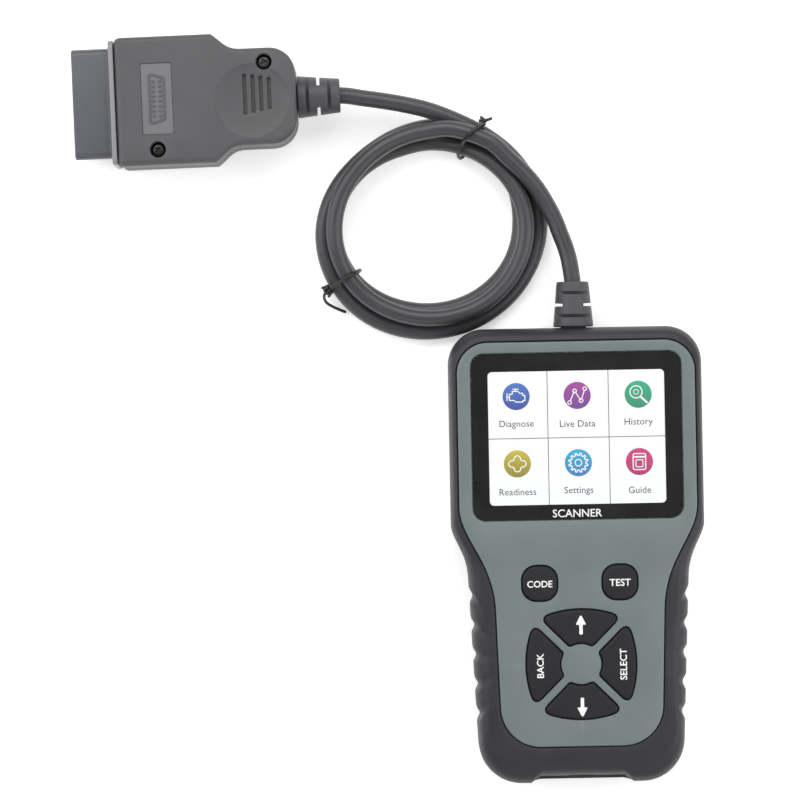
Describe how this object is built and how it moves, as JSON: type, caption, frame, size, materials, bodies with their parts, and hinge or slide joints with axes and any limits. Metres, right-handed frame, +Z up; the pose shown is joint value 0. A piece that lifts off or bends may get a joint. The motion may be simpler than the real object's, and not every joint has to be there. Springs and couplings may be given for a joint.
{
  "type": "obd code reader",
  "caption": "Handheld car fault-code reader with a colour screen, sprung keys, a coiled lead and a D-shaped diagnostic plug.",
  "frame": {"origin": "on the surface the handset lies on, under the middle of the handset without its strain relief", "axes": "+Z up out of the screen and keys, +Y along the handset towards its cable end, +X to the right as the screen is read"},
  "size_m": [0.2043, 0.247, 0.024],
  "materials": {
    "housing_dark": "fine spark-eroded satin",
    "frame_soft": "soft-touch satin",
    "panel_green": "satin painted grey-green",
    "key_rubber": "matte moulded rubber",
    "key_carbon": "matte carbon-loaded rubber",
    "screen_lens": "clear acrylic printed black behind its border",
    "lcd": "lit colour display",
    "natural_plastic": "natural nylon",
    "silicone": "translucent grey silicone",
    "circuit_board": "green solder mask",
    "chip_black": "matte epoxy",
    "steel": "plated steel",
    "black_steel": "black oxide",
    "pin_gold": "gold-flashed brass",
    "plug_grey": "fine moulded grain",
    "cord_pvc": "satin flexible PVC",
    "relief_pvc": "matte flexible PVC",
    "tie_vinyl": "vinyl-covered wire"
  },
  "bodies": {
    "handset": {"rear_cover": "housing_dark", "front_frame": "frame_soft", "face_panel": "panel_green", "screen_lens": "screen_lens", "lcd_module": "lcd", "lcd_frame": "natural_plastic", "board_header": "natural_plastic", "header_plug": "natural_plastic", "keypad_mat": "silicone", "main_board": "circuit_board", "pin_board": "circuit_board", "processor_chip": "chip_black", "memory_chip": "chip_black", "bus_transceiver": "chip_black", "buzzer": "chip_black", "clock_crystal": "steel", "supply_capacitor": "steel", "usb_socket": "steel", "board_screw_1": "steel", "board_screw_2": "steel", "rear_screw_1": "black_steel", "rear_screw_2": "black_steel", "rear_screw_3": "black_steel", "rear_screw_4": "black_steel", "plug_screw_1": "black_steel", "plug_screw_2": "black_steel", "pin_2": "pin_gold", "pin_4": "pin_gold", "pin_5": "pin_gold", "pin_6": "pin_gold", "pin_7": "pin_gold", "pin_10": "pin_gold", "pin_14": "pin_gold", "pin_15": "pin_gold", "pin_16": "pin_gold", "plug_top_shell": "plug_grey", "plug_bottom_shell": "plug_grey", "plug_nose": "plug_grey", "cord_handset_lead": "cord_pvc", "cord_coil": "cord_pvc", "cord_plug_lead": "cord_pvc", "inner_wires": "cord_pvc", "handset_strain_relief": "relief_pvc", "plug_strain_relief": "relief_pvc", "tie_top": "tie_vinyl", "tie_side": "tie_vinyl"},
    "code_key_body": {"code_key": "key_rubber", "code_key_contact": "key_carbon"},
    "ready_key_body": {"ready_key": "key_rubber", "ready_key_contact": "key_carbon"},
    "up_key_body": {"up_key": "key_rubber", "up_key_contact": "key_carbon"},
    "exit_key_body": {"exit_key": "key_rubber", "exit_key_contact": "key_carbon"},
    "down_key_body": {"down_key": "key_rubber", "down_key_contact": "key_carbon"},
    "enter_key_body": {"enter_key": "key_rubber", "enter_key_contact": "key_carbon"}
  },
  "joints": [
    {"name": "code_key_press", "type": "slide", "parent": "handset", "child": "code_key_body", "axis": [0, 0, -1], "range_m": [0, 0.001], "stiffness_N_per_m": 800},
    {"name": "ready_key_press", "type": "slide", "parent": "handset", "child": "ready_key_body", "axis": [0, 0, -1], "range_m": [0, 0.001], "stiffness_N_per_m": 800},
    {"name": "up_key_press", "type": "slide", "parent": "handset", "child": "up_key_body", "axis": [0, 0, -1], "range_m": [0, 0.001], "stiffness_N_per_m": 800},
    {"name": "exit_key_press", "type": "slide", "parent": "handset", "child": "exit_key_body", "axis": [0, 0, -1], "range_m": [0, 0.001], "stiffness_N_per_m": 800},
    {"name": "down_key_press", "type": "slide", "parent": "handset", "child": "down_key_body", "axis": [0, 0, -1], "range_m": [0, 0.001], "stiffness_N_per_m": 800},
    {"name": "enter_key_press", "type": "slide", "parent": "handset", "child": "enter_key_body", "axis": [0, 0, -1], "range_m": [0, 0.001], "stiffness_N_per_m": 800}
  ]
}
